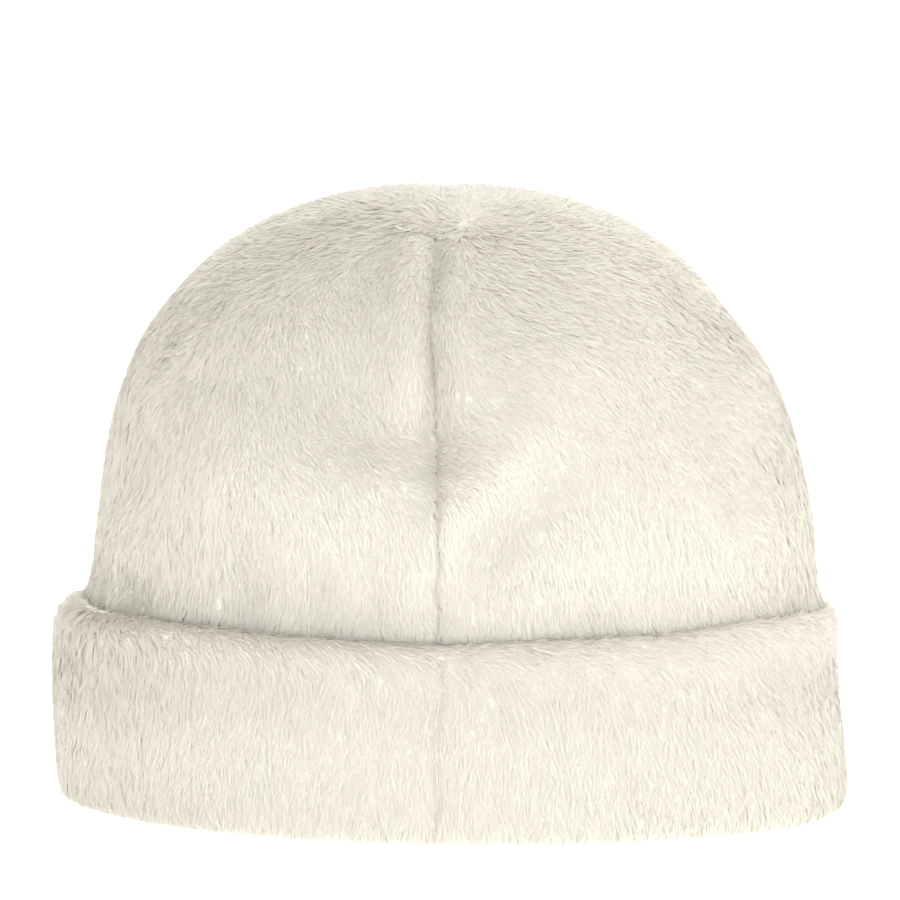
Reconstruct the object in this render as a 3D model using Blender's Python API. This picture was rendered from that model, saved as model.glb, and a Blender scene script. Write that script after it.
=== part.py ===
"""Plush beanie with a turned-up cuff, as five sewn pieces: four crown panels and one cuff band.

Metres, +Z up. The hat stands on its cuff, with the origin on the ground under its middle.
The centre-back seam faces -Y, the forehead faces +Y, and +X is the wearer's right.
An azimuth is in degrees round the hat, 0 at centre back and 90 at the wearer's right.
Every outer face is the envelope of the brushed pile, so a wall holds its knitted backing and its pile.
"""

from collections import namedtuple
from math import cos, exp, hypot, pi, radians, sin

import bmesh
import bpy
from mathutils import Matrix, Vector

# Driving dimensions
BAND_WIDTH = 0.2182
BAND_DEPTH = 0.2302
OVERALL_HEIGHT = 0.1695
CUFF_HEIGHT = 0.0565
CUFF_THICKNESS = 0.0120
CROWN_WALL = 0.0050
SEWN_GAP = 0.0003

# Crown: a dome over a nearly upright wall that the cuff grips
WIDEST_HEIGHT = 0.066
WIDEST_OUT = 0.0032
HEM_HEIGHT = 0.0058
DOME_POWER = 2.3
DOME_HEIGHT = OVERALL_HEIGHT - WIDEST_HEIGHT
HEM_HALF_WIDTH = BAND_WIDTH / 2 - CUFF_THICKNESS - SEWN_GAP
HEM_HALF_DEPTH = BAND_DEPTH / 2 - CUFF_THICKNESS - SEWN_GAP
CROWN_HALF_WIDTH = HEM_HALF_WIDTH + WIDEST_OUT
CROWN_HALF_DEPTH = HEM_HALF_DEPTH + WIDEST_OUT

# Where the four crown seams run and meet. The join of the tips sits behind the top of the head.
BACK_SEAM_AZIMUTH = -2.6
SIDE_SEAM_AZIMUTH = 71.0
TIP_JOIN_ANGLE = 60.0
TIP_JOIN_SIDE = -0.030
SEAM_DIP_WIDTH = 0.0048
TOP_SHARE = 0.9999

# Mesh density of a panel
DOME_ROWS = 16
PANEL_COLUMNS = 22
COLUMN_CROWDING = 0.55
WALL_ROW_HEIGHTS = (HEM_HEIGHT, 0.024, 0.040, 0.050, 0.058)

# Tables with a value at each height or azimuth, read between the rows by a cosine
Level = namedtuple("Level", "at value")
SIDEWAYS_LEAN = (
    Level(0.080, 0.0),
    Level(0.100, -0.0012),
    Level(0.120, -0.0019),
    Level(0.138, -0.0038),
    Level(0.155, -0.0028),
)
FULLNESS = (
    Level(WIDEST_HEIGHT, 0.0),
    Level(0.092, -0.0012),
    Level(0.150, -0.0010),
)
WALL_BULGE = (
    Level(HEM_HEIGHT, 0.0),
    Level(0.040, -0.0004),
    Level(0.054, 0.0012),
    Level(WIDEST_HEIGHT, WIDEST_OUT),
)
BACK_SEAM_DEPTH = (
    Level(0.040, 0.0010),
    Level(0.080, 0.0016),
    Level(0.108, 0.0034),
    Level(0.150, 0.0026),
    Level(OVERALL_HEIGHT, 0.0015),
)
OTHER_SEAM_DEPTH = 0.0014

# Folds of the crown: a positive depth is a valley and a negative one a ridge, from start to end
Fold = namedtuple("Fold", "azimuth height end_azimuth end_height width depth")
CROWN_FOLDS = (
    Fold(1.0, 0.074, 7.0, 0.084, 0.0070, 0.0022),
    Fold(6.0, 0.083, 15.5, 0.101, 0.0080, 0.0032),
    Fold(-4.0, 0.077, -1.0, 0.088, 0.0085, -0.0022),
    Fold(0.0, 0.088, 13.0, 0.106, 0.0085, -0.0022),
    Fold(-16.5, 0.110, -4.5, 0.107, 0.0090, 0.0026),
    Fold(1.0, 0.1515, 6.0, 0.1500, 0.0070, 0.0018),
    Fold(-10.0, 0.160, -7.5, 0.120, 0.0065, -0.0020),
    Fold(-17.0, 0.157, -20.0, 0.126, 0.0085, 0.0018),
    Fold(20.0, 0.1635, 27.0, 0.1550, 0.0070, 0.0018),
    Fold(46.0, 0.158, 66.0, 0.143, 0.0080, 0.0014),
    Fold(25.0, 0.113, 44.0, 0.117, 0.0120, 0.0020),
    Fold(17.0, 0.132, 26.0, 0.130, 0.0140, -0.0014),
    Fold(-45.0, 0.152, -62.0, 0.134, 0.0085, 0.0018),
    Fold(-58.0, 0.118, -62.0, 0.094, 0.0085, 0.0018),
    Fold(62.0, 0.112, 64.0, 0.092, 0.0080, 0.0012),
    Fold(-38.0, 0.080, -31.0, 0.058, 0.0065, 0.0024),
    Fold(-23.0, 0.068, -21.0, 0.054, 0.0065, 0.0022),
    Fold(-14.5, 0.065, -12.0, 0.054, 0.0060, 0.0020),
    Fold(24.0, 0.064, 21.5, 0.054, 0.0070, 0.0018),
    Fold(68.0, 0.066, 69.0, 0.054, 0.0060, 0.0018),
    Fold(120.0, 0.082, 132.0, 0.104, 0.0090, 0.0022),
    Fold(205.0, 0.086, 195.0, 0.110, 0.0090, 0.0022),
    Fold(238.0, 0.074, 244.0, 0.055, 0.0075, 0.0022),
    Fold(150.0, 0.070, 153.0, 0.055, 0.0070, 0.0020),
    Fold(-102.0, 0.138, -76.0, 0.138, 0.0100, 0.0014),
    Fold(76.0, 0.137, 102.0, 0.137, 0.0100, 0.0010),
    Fold(-92.0, 0.100, -90.0, 0.082, 0.0120, 0.0010),
)
DEEPEST_DIP = 0.0035

# Cuff: a doubled band whose turned edge carries the crown's hem
CUFF_COLUMNS = 80
CUFF_SEAM_AZIMUTH = -1.8
CUFF_SEAM_DEPTH = 0.0014
CUFF_SEAM_HALF_ANGLE = 1.5
CUFF_SEAM_SHARPNESS = 1.6
CUFF_BASE_ROUND = 0.0070
CUFF_INNER_ROUND = 0.0010
CUFF_FRONT_SETBACK = 0.0009
CUFF_TOP_STAND_OFF = 0.0034
CUFF_LEFT_LEAN = 0.0024
CUFF_LEAN_HEIGHT = 0.040
HEEL_STEPS = 4
LIP_STEPS = 3
CUFF_FRONT = (
    Level(0.014, 0.0),
    Level(0.027, -0.0003),
    Level(0.038, -0.0007),
)
CUFF_BACK = (
    Level(0.016, 0.0006),
    Level(0.034, 0.0022),
)
CUFF_LIP_ROUND = (
    Level(-180.0, 0.0055),
    Level(-90.0, 0.0100),
    Level(-45.0, 0.0060),
    Level(40.0, 0.0055),
    Level(180.0, 0.0055),
)
CUFF_CREST_SHARE = (
    Level(-180.0, 0.40),
    Level(-90.0, 0.12),
    Level(-35.0, 0.40),
    Level(40.0, 0.40),
    Level(90.0, 0.24),
    Level(180.0, 0.40),
)
CUFF_EDGE_DROP = (
    Level(-180.0, 0.0026),
    Level(-120.0, 0.0032),
    Level(-90.0, 0.0012),
    Level(-46.0, 0.0019),
    Level(-20.0, 0.0035),
    Level(-2.0, 0.0044),
    Level(13.0, 0.0030),
    Level(30.0, 0.0022),
    Level(52.0, 0.0),
    Level(90.0, 0.0012),
    Level(120.0, 0.0032),
    Level(180.0, 0.0026),
)

# Soft shape of the cuff's outer face: a positive depth is a hollow and a negative one a swell
Hollow = namedtuple("Hollow", "azimuth height half_angle half_height depth")
CUFF_HOLLOWS = (
    Hollow(57.0, 0.004, 20.0, 0.030, -0.0034),
    Hollow(-16.0, 0.024, 9.0, 0.012, 0.0010),
    Hollow(17.0, 0.034, 13.0, 0.010, 0.0010),
    Hollow(34.0, 0.033, 9.0, 0.010, 0.0012),
    Hollow(-56.0, 0.040, 10.0, 0.012, 0.0010),
    Hollow(128.0, 0.032, 12.0, 0.012, 0.0011),
    Hollow(226.0, 0.030, 13.0, 0.012, 0.0011),
)

# Colour and finish of the cream plush
PLUSH_COLOUR = (0.83, 0.79, 0.70, 1.0)
PLUSH_ROUGHNESS = 0.95
SMOOTH_LIMIT = radians(50)


def ease(share):
    """Smooth step from 0 to 1."""
    return (1 - cos(pi * share)) / 2


def read_levels(levels, place):
    """Value at a height or an azimuth, eased between the two rows round it."""
    if place <= levels[0].at:
        return levels[0].value
    for low, high in zip(levels, levels[1:]):
        if place <= high.at:
            share = (place - low.at) / (high.at - low.at)
            return low.value + (high.value - low.value) * ease(share)
    return levels[-1].value


def plush_material(name):
    """Cream pile: nearly matt, no metal."""
    material = bpy.data.materials.new(name)
    material.use_nodes = True
    shader = material.node_tree.nodes["Principled BSDF"]
    shader.inputs["Base Color"].default_value = PLUSH_COLOUR
    shader.inputs["Roughness"].default_value = PLUSH_ROUGHNESS
    shader.inputs["Metallic"].default_value = 0.0
    return material


def add_object(name, mesh_builder, material):
    """Turns a filled bmesh into a named object with its own material."""
    mesh = bpy.data.meshes.new(name)
    mesh_builder.normal_update()
    mesh_builder.to_mesh(mesh)
    mesh_builder.free()
    mesh.materials.append(material)
    mesh.shade_smooth()
    mesh.set_sharp_from_angle(angle=SMOOTH_LIMIT)
    piece = bpy.data.objects.new(name, mesh)
    bpy.context.scene.collection.objects.link(piece)
    return piece


def compass(azimuth):
    """Level unit vector at an azimuth."""
    angle = radians(azimuth)
    return Vector((sin(angle), -cos(angle), 0.0))


def dome_point(direction, inset=0.0):
    """Point of the dome seen from its middle along a direction, inset from the outer face."""
    across = hypot(direction.x, direction.y)
    rise = max(direction.z, 0.0)
    reach = (across**DOME_POWER + rise**DOME_POWER) ** (-1 / DOME_POWER)
    height = WIDEST_HEIGHT + (DOME_HEIGHT - inset) * reach * rise
    out = read_levels(FULLNESS, height) - inset
    return Vector((
        (CROWN_HALF_WIDTH + out) * reach * direction.x + read_levels(SIDEWAYS_LEAN, height),
        (CROWN_HALF_DEPTH + out) * reach * direction.y,
        height,
    ))


def wall_point(level_direction, height, inset=0.0):
    """Point of the upright wall under the dome."""
    out = read_levels(WALL_BULGE, height) - inset
    return Vector((
        (HEM_HALF_WIDTH + out) * level_direction.x,
        (HEM_HALF_DEPTH + out) * level_direction.y,
        height,
    ))


def crown_place(azimuth, height):
    """Point of the smooth crown at an azimuth and a height."""
    if height <= WIDEST_HEIGHT:
        return wall_point(compass(azimuth), height)
    share = min((height - WIDEST_HEIGHT) / DOME_HEIGHT, TOP_SHARE)
    across = (1 - share**DOME_POWER) ** (1 / DOME_POWER)
    direction = compass(azimuth) * across + Vector((0.0, 0.0, share))
    return dome_point(direction)


def back_seam(share):
    """Direction along the centre-back seam, from the widest level to the join of the tips."""
    return centre_seam(share, 0.0, BACK_SEAM_AZIMUTH)


def front_seam(share):
    """Direction along the centre-front seam, over the top of the head."""
    return centre_seam(share, 180.0, 0.0)


def centre_seam(share, start_angle, start_azimuth):
    """Direction along a seam of the middle, which drifts sideways as it nears the tips."""
    angle = radians(start_angle + (TIP_JOIN_ANGLE - start_angle) * share)
    start_side = sin(radians(start_azimuth))
    side = start_side + (TIP_JOIN_SIDE - start_side) * share**2
    return Vector((side, -cos(angle), sin(angle))).normalized()


def side_seam(share, hand):
    """Direction along a side seam, which stays a little behind the middle until it nears the tips."""
    behind_low = cos(radians(SIDE_SEAM_AZIMUTH))
    behind_tip = cos(radians(TIP_JOIN_ANGLE))
    behind = behind_low + (behind_tip - behind_low) * share**2
    rest = (1 - behind * behind) ** 0.5
    angle = share * pi / 2
    side = hand * rest * cos(angle) + TIP_JOIN_SIDE * share
    return Vector((side, -behind, rest * sin(angle))).normalized()


def right_seam(share):
    """Direction along the seam on the wearer's right."""
    return side_seam(share, 1)


def left_seam(share):
    """Direction along the seam on the wearer's left."""
    return side_seam(share, -1)


Panel = namedtuple("Panel", "name first_seam last_seam")
PANELS = (
    Panel("crown_back_left", left_seam, back_seam),
    Panel("crown_back_right", back_seam, right_seam),
    Panel("crown_front_right", right_seam, front_seam),
    Panel("crown_front_left", front_seam, left_seam),
)


def column_share(column):
    """Share of a panel's width at a column. Columns crowd towards the seams, where the pile dips."""
    even = column / PANEL_COLUMNS
    return even + (ease(even) - even) * COLUMN_CROWDING


def grid_point(panel, row, column, inset=0.0):
    """Point of a panel's smooth face. Rows climb the wall first and then the dome."""
    dome_row = row - len(WALL_ROW_HEIGHTS)
    share = max(dome_row, 0) / DOME_ROWS
    first = panel.first_seam(share)
    last = panel.last_seam(share)
    if dome_row >= DOME_ROWS:
        direction = first
    else:
        direction = first.slerp(last, column_share(column))
    if dome_row < 0:
        return wall_point(direction, WALL_ROW_HEIGHTS[row], inset)
    return dome_point(direction, inset)


def outward(point):
    """Unit vector that points out of the crown at a point."""
    flat = Vector((point.x / CROWN_HALF_WIDTH**2, point.y / CROWN_HALF_DEPTH**2, 0.0))
    lift = max(point.z - WIDEST_HEIGHT, 0.0) / DOME_HEIGHT**2
    return (flat + Vector((0.0, 0.0, lift))).normalized()


def distance_to_segment(point, start, end):
    """Distance from a point to the straight line between two others."""
    along = end - start
    share = (point - start).dot(along) / along.length_squared
    return (point - start - along * min(max(share, 0.0), 1.0)).length


def fold_depth(point):
    """Sum of the folds' depths at a point of the crown."""
    total = 0.0
    for fold in CROWN_FOLDS:
        start = crown_place(fold.azimuth, fold.height)
        end = crown_place(fold.end_azimuth, fold.end_height)
        nearness = distance_to_segment(point, start, end) / fold.width
        total += fold.depth * exp(-nearness * nearness)
    return total


def seam_dip(distance, depth):
    """How far the face dips at a distance from a seam of a given depth."""
    nearness = distance / SEAM_DIP_WIDTH
    return depth * exp(-nearness * nearness)


def seam_depth(seam, height):
    """How far the pile dips at a seam."""
    if seam is back_seam:
        return read_levels(BACK_SEAM_DEPTH, height)
    return OTHER_SEAM_DEPTH


def outer_point(panel, row, column):
    """Point of a panel's outer face, with its folds and the dips along its two seams."""
    point = grid_point(panel, row, column)
    depth = fold_depth(point)
    for seam, edge_column in ((panel.first_seam, 0), (panel.last_seam, PANEL_COLUMNS)):
        edge = grid_point(panel, row, edge_column)
        depth += seam_dip((point - edge).length, seam_depth(seam, point.z))
    return point - outward(point) * min(depth, DEEPEST_DIP)


def seam_side(panel, row, column):
    """Unit vector across a seam, towards the panel, at one of its two edge columns."""
    last_row = len(WALL_ROW_HEIGHTS) + DOME_ROWS
    above = grid_point(panel, min(row + 1, last_row), column)
    below = grid_point(panel, max(row - 1, 0), column)
    across = (above - below).cross(outward(grid_point(panel, row, column))).normalized()
    return -across if column else across


def edge_shift(panel, row, column):
    """Half of the sewn gap, which keeps the panels apart along their seams."""
    last_row = len(WALL_ROW_HEIGHTS) + DOME_ROWS
    half_gap = SEWN_GAP / 2
    if row == last_row:
        return (seam_side(panel, row, 0) + seam_side(panel, row, PANEL_COLUMNS)) * half_gap
    if column in (0, PANEL_COLUMNS):
        return seam_side(panel, row, column) * half_gap
    return Vector()


def crown_panel(panel, material):
    """One crown panel: a curved wall with an outer and an inner face, closed along its edges."""
    build = bmesh.new()
    last_row = len(WALL_ROW_HEIGHTS) + DOME_ROWS
    faces = {}
    for side in ("outer", "inner"):
        for row in range(last_row + 1):
            columns = range(PANEL_COLUMNS + 1) if row < last_row else (0,)
            for column in columns:
                if side == "outer":
                    point = outer_point(panel, row, column)
                else:
                    point = grid_point(panel, row, column, CROWN_WALL)
                faces[side, row, column] = build.verts.new(point + edge_shift(panel, row, column))

    def vertex(side, row, column):
        """Corner of the grid. The last row is the one point where the panel's tip ends."""
        return faces[side, row, column if row < last_row else 0]

    for row in range(last_row):
        for column in range(PANEL_COLUMNS):
            for side in ("outer", "inner"):
                corners = [
                    vertex(side, row, column),
                    vertex(side, row, column + 1),
                    vertex(side, row + 1, column + 1),
                    vertex(side, row + 1, column),
                ]
                if row == last_row - 1:
                    corners.pop()
                build.faces.new(corners if side == "outer" else corners[::-1])
        for column in (0, PANEL_COLUMNS):
            corners = [
                vertex("outer", row, column),
                vertex("outer", row + 1, column),
                vertex("inner", row + 1, column),
                vertex("inner", row, column),
            ]
            build.faces.new(corners if column == 0 else corners[::-1])
    for column in range(PANEL_COLUMNS):
        build.faces.new([
            vertex("outer", 0, column + 1),
            vertex("outer", 0, column),
            vertex("inner", 0, column),
            vertex("inner", 0, column + 1),
        ])
    return add_object(panel.name, build, material)


def arc(centre, radii, start, end, steps):
    """Points of an elliptical arc of the cuff's section, as (out, up), angles in degrees."""
    points = []
    for step in range(steps + 1):
        angle = radians(start + (end - start) * step / steps)
        points.append((centre[0] + radii[0] * cos(angle), centre[1] + radii[1] * sin(angle)))
    return points


def cuff_lean(azimuth, height):
    """How far the band leans outwards at a height: out on the wearer's left, in on the right."""
    share = ease(min(height / CUFF_LEAN_HEIGHT, 1.0))
    return -CUFF_LEFT_LEAN * sin(radians(azimuth)) * share


def cuff_section(azimuth):
    """The cuff's section as (out, up) points, measured from the foot of the crown's outer face."""
    seat = HEM_HEIGHT - SEWN_GAP
    edge = CUFF_HEIGHT - read_levels(CUFF_EDGE_DROP, azimuth)
    lip_round = read_levels(CUFF_LIP_ROUND, azimuth)
    lip_height = edge - lip_round
    front_low = SEWN_GAP + CUFF_THICKNESS
    front_top = front_low - CUFF_FRONT_SETBACK + cuff_lean(azimuth, lip_height)
    back_top = SEWN_GAP + CUFF_TOP_STAND_OFF
    crest = back_top + (front_top - back_top) * read_levels(CUFF_CREST_SHARE, azimuth)
    inner_round = (CUFF_INNER_ROUND, CUFF_INNER_ROUND)
    heel_round = (CUFF_BASE_ROUND, CUFF_BASE_ROUND)

    base = arc((CUFF_INNER_ROUND - CROWN_WALL, CUFF_INNER_ROUND), inner_round, 180, 270, 1)
    heel = arc((front_low - CUFF_BASE_ROUND, CUFF_BASE_ROUND), heel_round, 270, 360, HEEL_STEPS)
    front = [(front_low + out + cuff_lean(azimuth, up), up) for up, out in CUFF_FRONT]
    lip_front = arc((crest, lip_height), (front_top - crest, lip_round), 0, 90, LIP_STEPS)
    lip_back = arc((crest, lip_height), (crest - back_top, lip_round), 90, 180, LIP_STEPS)
    back = [(SEWN_GAP + out, up) for up, out in reversed(CUFF_BACK)]
    return base + heel + front + lip_front + lip_back[1:] + back + [(SEWN_GAP, seat), (-CROWN_WALL, seat)]


def cuff_azimuths():
    """Even columns round the cuff, with three close ones at its seam."""
    step = 360.0 / CUFF_COLUMNS
    even = [CUFF_SEAM_AZIMUTH + step * column for column in range(1, CUFF_COLUMNS)]
    near = [CUFF_SEAM_AZIMUTH + CUFF_SEAM_HALF_ANGLE * side for side in (-1, 0, 1)]
    return near + even


def turn_between(azimuth, other):
    """Signed angle from one azimuth to another, from -180 to 180."""
    return (azimuth - other + 180) % 360 - 180


def cuff_dent(azimuth, height):
    """Depth of the cuff's seam and soft hollows at a place on its outer face."""
    off_seam = turn_between(azimuth, CUFF_SEAM_AZIMUTH) / CUFF_SEAM_HALF_ANGLE * CUFF_SEAM_SHARPNESS
    total = CUFF_SEAM_DEPTH * exp(-off_seam * off_seam)
    for hollow in CUFF_HOLLOWS:
        turn = turn_between(azimuth, hollow.azimuth) / hollow.half_angle
        lift = (height - hollow.height) / hollow.half_height
        total += hollow.depth * exp(-turn * turn - lift * lift)
    return total


def cuff(material):
    """The doubled band, turned up round the crown. Its base is a flat ring that the hat stands on."""
    build = bmesh.new()
    middle_of_band = SEWN_GAP + CUFF_THICKNESS / 2
    rings = []
    for azimuth in cuff_azimuths():
        level = compass(azimuth)
        foot = Vector((HEM_HALF_WIDTH * level.x, HEM_HALF_DEPTH * level.y, 0.0))
        across = Vector((level.x * HEM_HALF_DEPTH, level.y * HEM_HALF_WIDTH, 0.0)).normalized()
        ring = []
        for out, up in cuff_section(turn_between(azimuth, 0.0)):
            if out > middle_of_band:
                out -= cuff_dent(azimuth, up)
            ring.append(build.verts.new(foot + across * out + Vector((0.0, 0.0, up))))
        rings.append(ring)
    for near, far in zip(rings, rings[1:] + rings[:1]):
        for index in range(len(near)):
            following = (index + 1) % len(near)
            build.faces.new([near[index], far[index], far[following], near[following]])
    return add_object("cuff", build, material)


def centre_on_ground(pieces):
    """Puts the origin on the ground under the middle of the hat."""
    corners = [vertex.co for piece in pieces for vertex in piece.data.vertices]
    middle_x = (min(corner.x for corner in corners) + max(corner.x for corner in corners)) / 2
    middle_y = (min(corner.y for corner in corners) + max(corner.y for corner in corners)) / 2
    for piece in pieces:
        piece.data.transform(Matrix.Translation((-middle_x, -middle_y, 0.0)))


def main():
    for old in list(bpy.data.objects):
        bpy.data.objects.remove(old)
    pieces = [crown_panel(panel, plush_material(panel.name + "_plush")) for panel in PANELS]
    pieces.append(cuff(plush_material("cuff_plush")))
    centre_on_ground(pieces)


main()
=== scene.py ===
from collections import namedtuple
from math import atan2, cos, degrees, exp, hypot, radians, sin

import bmesh
import bpy
import numpy as np
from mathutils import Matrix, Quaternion, Vector
from mathutils.bvhtree import BVHTree
from mathutils.geometry import intersect_point_line
from mathutils.kdtree import KDTree


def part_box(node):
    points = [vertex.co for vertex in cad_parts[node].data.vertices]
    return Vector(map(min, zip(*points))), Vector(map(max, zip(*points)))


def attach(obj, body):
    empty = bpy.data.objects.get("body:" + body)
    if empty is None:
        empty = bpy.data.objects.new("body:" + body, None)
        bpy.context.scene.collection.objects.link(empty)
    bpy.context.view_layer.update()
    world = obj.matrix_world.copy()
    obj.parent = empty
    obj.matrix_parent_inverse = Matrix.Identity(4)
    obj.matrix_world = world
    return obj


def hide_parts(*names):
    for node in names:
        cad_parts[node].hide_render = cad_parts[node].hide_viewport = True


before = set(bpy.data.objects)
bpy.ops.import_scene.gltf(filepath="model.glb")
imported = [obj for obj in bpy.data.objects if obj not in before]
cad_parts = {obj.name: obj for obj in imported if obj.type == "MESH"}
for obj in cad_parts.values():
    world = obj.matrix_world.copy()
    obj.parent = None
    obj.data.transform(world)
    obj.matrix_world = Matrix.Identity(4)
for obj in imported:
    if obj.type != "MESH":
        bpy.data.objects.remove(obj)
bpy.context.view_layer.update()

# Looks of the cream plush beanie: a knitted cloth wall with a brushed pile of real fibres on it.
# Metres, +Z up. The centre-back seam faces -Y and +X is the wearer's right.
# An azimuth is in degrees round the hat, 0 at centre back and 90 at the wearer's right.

# Cloth wall: it is sunk by the pile's depth, but for the flat base that the hat stands on
MERGE_DISTANCE = 0.00002
FLAT_QUAD_LIMIT = radians(40)
ROUND_LEVELS = 1
PILE_DEPTH = 0.0007
THINNEST_WALL = 0.0008
BASE_FLAT = 0.0006
BASE_ROUNDING = 0.006

# Height from which the crown closes in as a dome
DOME_FROM_HEIGHT = 0.066

# Pile: how long and wide a bundle of fibres is, how it lies, and how far a lock draws its fibres in
FIBRE_LENGTH = 0.0043
FIBRE_WIDTH = 0.00066
FIBRE_KNEE = 0.42
FIBRE_KNEE_RISE = 0.070
FIBRE_TIP_RISE = 0.10
LOCK_SPACING = 0.0020
LOCK_PULL = 0.28
MOST_LOCKS = 600000.0
LYING_ANGLE = radians(13)

# Lifts are counted from this slope, at which a fibre's axis lies flat and only its bend stands up
FLAT_SLOPE = 0.21

# Waves of the brushing, large and small, and how the noise is shifted and stretched to make them
BROAD_WAVE = 0.021
SMALL_WAVE = 0.0055
WAVE_SHIFT = (1.37, 2.11, 0.71)
WAVE_MIDDLE = 0.5
WAVE_GAIN = 2.6

# How fibres and locks differ: turns in radians, lifts as slopes, and the rest as shares
CALM_TURN = 0.18
MESSY_TURN = 0.75
FIBRE_TURN = 0.05
FIBRE_ROLL = 0.12
FIBRE_LIFT = 0.015
LOCK_LIFT = 0.035
MESS_LIFT = 0.07
TUFT_LIFT = 0.06
TUFT_RARITY = 8.0
STRAY_LIFT = 0.30
STRAY_RARITY = 10.0
FIBRE_LENGTHS = (0.75, 1.15)
LOCK_LENGTHS = (0.80, 1.15)
SHORTER_AT_SEAM = 0.2
SHORTEST_GROWN = 0.5
FIBRE_WIDTHS = (0.7, 1.3)
FIBRE_TONES = (0.8, 1.0)
LOCK_TONES = (0.0, 0.10)

# Share of light that passes through a fibre, and how far up it the root's colour reaches
LIGHT_THROUGH = 0.64
ROOTS_TO = 0.7

# How far a fibre's shading is turned to the cloth's under it
SOFTNESS = 0.92

# The lowest that a fibre reaches over the floor
FLOOR_CLEARANCE = 0.0003

# Heights at which the pile starts and is full, and at which the crown's seams start
CROWN_PILE_FROM = 0.0485
CROWN_PILE_THICKENS = 0.006
CUFF_BACK_PILE_FROM = 0.047
CUFF_PILE_FROM = 0.0006
CUFF_PILE_FULL_AT = 0.0030
SEAMS_FROM = 0.034

# Upward share of the cloth's normal where the cuff's underside is bare and where its pile is full
UNDERSIDE_BARE_TO = -0.92
UNDERSIDE_FULL_FROM = -0.55

# The whorl of the pile, near the join of the crown's tips
WHORL_AZIMUTH = 5.5
WHORL_HEIGHT = 0.1608

# Brushing of the pile: a turn from straight down, towards the wearer's right, felt within a reach
# sideways and a reach up and down, and how messy the pile lies there
Stroke = namedtuple("Stroke", "azimuth height turn sideways upright mess")
CROWN_STROKES = [Stroke(*row) for row in (
    # Left of the back seam, from the top down
    (-33, 0.1620, -44, 0.012, 0.005, 0.30),
    (-42, 0.1560, -34, 0.014, 0.006, 0.35),
    (-52, 0.1500, -40, 0.013, 0.008, 0.40),
    (-60, 0.1400, -20, 0.012, 0.010, 0.45),
    (-61, 0.1260, -42, 0.012, 0.010, 0.55),
    (-13, 0.1570, -34, 0.009, 0.008, 0.05),
    (-4, 0.1500, -12, 0.005, 0.012, 0.00),
    (-20, 0.1500, 14, 0.010, 0.006, 0.20),
    (-22, 0.1410, 26, 0.012, 0.009, 0.10),
    (-10, 0.1340, 8, 0.010, 0.016, 0.00),
    (-33, 0.1320, 30, 0.014, 0.012, 0.10),
    (-36, 0.1180, 24, 0.014, 0.012, 0.05),
    (-23, 0.1190, 30, 0.012, 0.008, 0.05),
    (-21, 0.1100, 52, 0.012, 0.006, 0.10),
    (-13, 0.1030, 74, 0.014, 0.006, 0.10),
    (-4, 0.0985, 80, 0.008, 0.006, 0.00),
    (-23, 0.0980, 56, 0.010, 0.006, 0.05),
    (-48, 0.1020, 2, 0.016, 0.020, 0.15),
    (-9, 0.0905, 35, 0.010, 0.005, 0.00),
    (-24, 0.0880, 22, 0.014, 0.009, 0.00),
    (-12, 0.0740, 5, 0.016, 0.010, 0.00),
    (-38, 0.0720, 22, 0.016, 0.010, 0.05),
    (-62, 0.0850, -9, 0.014, 0.016, 0.20),
    # Right of the back seam, from the top down
    (25, 0.1630, 76, 0.013, 0.005, 0.30),
    (32, 0.1575, 68, 0.014, 0.006, 0.30),
    (13, 0.1565, 70, 0.010, 0.006, 0.15),
    (22, 0.1490, 84, 0.024, 0.007, 0.05),
    (58, 0.1490, 42, 0.012, 0.010, 0.40),
    (9, 0.1310, 73, 0.008, 0.010, 0.00),
    (20, 0.1350, 68, 0.011, 0.008, 0.00),
    (37, 0.1340, 48, 0.016, 0.008, 0.00),
    (63, 0.1350, 25, 0.012, 0.010, 0.30),
    (22, 0.1235, 45, 0.010, 0.008, 0.00),
    (34, 0.1230, 30, 0.011, 0.008, 0.00),
    (53, 0.1220, 54, 0.016, 0.008, 0.25),
    (10, 0.1130, 51, 0.008, 0.007, 0.00),
    (20, 0.1120, 38, 0.010, 0.008, 0.00),
    (31, 0.1090, 22, 0.012, 0.008, 0.00),
    (48, 0.1100, 47, 0.014, 0.008, 0.10),
    (1.5, 0.1030, 84, 0.005, 0.010, 0.00),
    (11, 0.1030, 45, 0.010, 0.006, 0.00),
    (27, 0.1000, 18, 0.014, 0.008, 0.00),
    (47, 0.0980, 44, 0.013, 0.008, 0.15),
    (67, 0.0980, 20, 0.012, 0.012, 0.30),
    (20, 0.0885, 14, 0.020, 0.008, 0.00),
    (51, 0.0870, 54, 0.013, 0.007, 0.20),
    (30, 0.0720, 8, 0.040, 0.009, 0.00),
    # Sides and front, which are as calm as any plush
    (115, 0.1400, 24, 0.030, 0.014, 0.15),
    (112, 0.1020, -12, 0.030, 0.018, 0.10),
    (150, 0.1250, -26, 0.026, 0.018, 0.05),
    (160, 0.0900, 10, 0.030, 0.014, 0.05),
    (205, 0.1150, 22, 0.026, 0.020, 0.10),
    (215, 0.0800, -12, 0.030, 0.014, 0.05),
    (245, 0.1400, 20, 0.030, 0.014, 0.15),
    (250, 0.1000, 14, 0.030, 0.018, 0.10),
)]
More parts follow.
